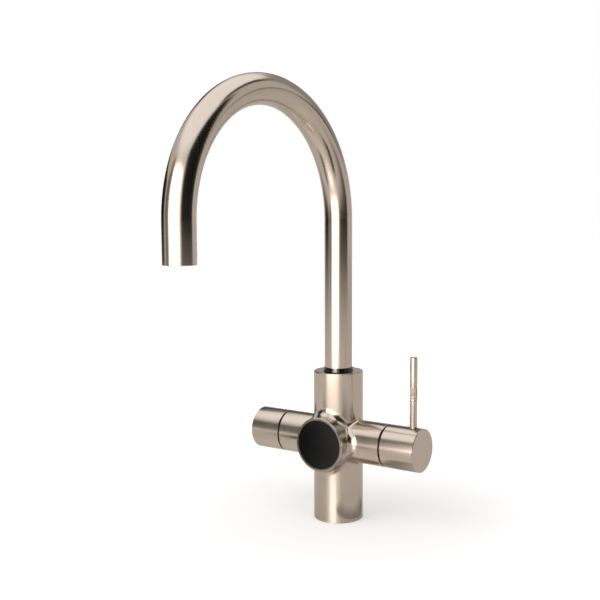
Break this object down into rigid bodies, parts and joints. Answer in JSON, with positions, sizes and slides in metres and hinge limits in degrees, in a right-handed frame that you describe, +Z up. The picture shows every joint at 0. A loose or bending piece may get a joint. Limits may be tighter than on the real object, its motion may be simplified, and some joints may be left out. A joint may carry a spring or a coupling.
{
  "type": "three way filtered water tap",
  "caption": "Three way kitchen tap with a swivelling swan-neck spout, a mixer lever at one side, a filtered water knob at the other and a filter capsule behind a black disc.",
  "frame": {"origin": "centre of the base on the worktop, at the mouth of the fixing stud's socket", "axes": "+Z up along the body and the riser; -Y to the front, where the spout and the cap point; +X towards the mixer handle"},
  "size_m": [0.1855, 0.2581, 0.4162],
  "materials": {
    "satin_nickel": "satin nickel, warm",
    "polished_ring": "black, polished",
    "dark_ring": "dark gloss",
    "black_disc": "black, satin gloss",
    "brass": "machined",
    "screw_steel": "plain",
    "seal_rubber": "matt",
    "disc_ceramic": "ground",
    "inner_plastic": "moulded",
    "tube_plastic": "extruded",
    "filter_media": "pressed carbon"
  },
  "bodies": {
    "body": {"body_casting": "satin_nickel", "base_seal": "seal_rubber", "inlet_manifold": "brass", "manifold_seals": "seal_rubber", "manifold_screws": "screw_steel", "spout_stop_screw": "screw_steel", "tube_seal": "seal_rubber", "mixer_base_seal": "seal_rubber", "mixer_cartridge": "inner_plastic", "mixer_fixed_disc": "disc_ceramic", "mixer_nut": "brass", "mixer_glide_ring": "dark_ring", "valve_base_seal": "seal_rubber", "valve_body": "brass", "valve_fixed_disc": "disc_ceramic", "valve_nut": "brass", "knob_glide_ring": "dark_ring", "capsule_liner": "inner_plastic"},
    "spout": {"spout_tube": "satin_nickel", "spout_stem": "brass", "spout_seals": "seal_rubber", "spout_glide_ring": "polished_ring", "filtered_tube": "tube_plastic", "outlet_insert": "inner_plastic", "aerator_screen": "inner_plastic", "outlet_seal": "seal_rubber"},
    "mixer": {"mixer_moving_disc": "disc_ceramic", "mixer_spindle": "brass", "mixer_handle": "satin_nickel", "mixer_set_screw": "screw_steel", "lever_pin": "satin_nickel"},
    "knob": {"valve_moving_disc": "disc_ceramic", "valve_spindle": "brass", "filter_knob": "satin_nickel", "knob_set_screw": "screw_steel"},
    "capsule": {"capsule_canister": "inner_plastic", "capsule_lid": "inner_plastic", "filter_core": "filter_media", "capsule_seals": "seal_rubber", "spigot_seal": "seal_rubber"},
    "cap": {"cap_ring": "satin_nickel", "cap_disc": "black_disc"}
  },
  "joints": [
    {"name": "spout_swivel", "type": "hinge", "parent": "body", "child": "spout", "pos_m": [0, 0, 0.1299], "axis": [0, 0, 1], "range_deg": [-75, 75]},
    {"name": "mixer_turn", "type": "hinge", "parent": "body", "child": "mixer", "pos_m": [0.0582, 0, 0.0786], "axis": [1, 0, 0], "range_deg": [0, 100]},
    {"name": "filter_knob_turn", "type": "hinge", "parent": "body", "child": "knob", "pos_m": [-0.06, 0, 0.0786], "axis": [1, 0, 0], "range_deg": [0, 90]},
    {"name": "capsule_pull", "type": "slide", "parent": "body", "child": "capsule", "axis": [0, -1, 0], "range_m": [0, 0.05]},
    {"name": "cap_twist", "type": "hinge", "parent": "capsule", "child": "cap", "pos_m": [0, -0.0315, 0.0786], "axis": [0, -1, 0], "range_deg": [0, 60]}
  ]
}
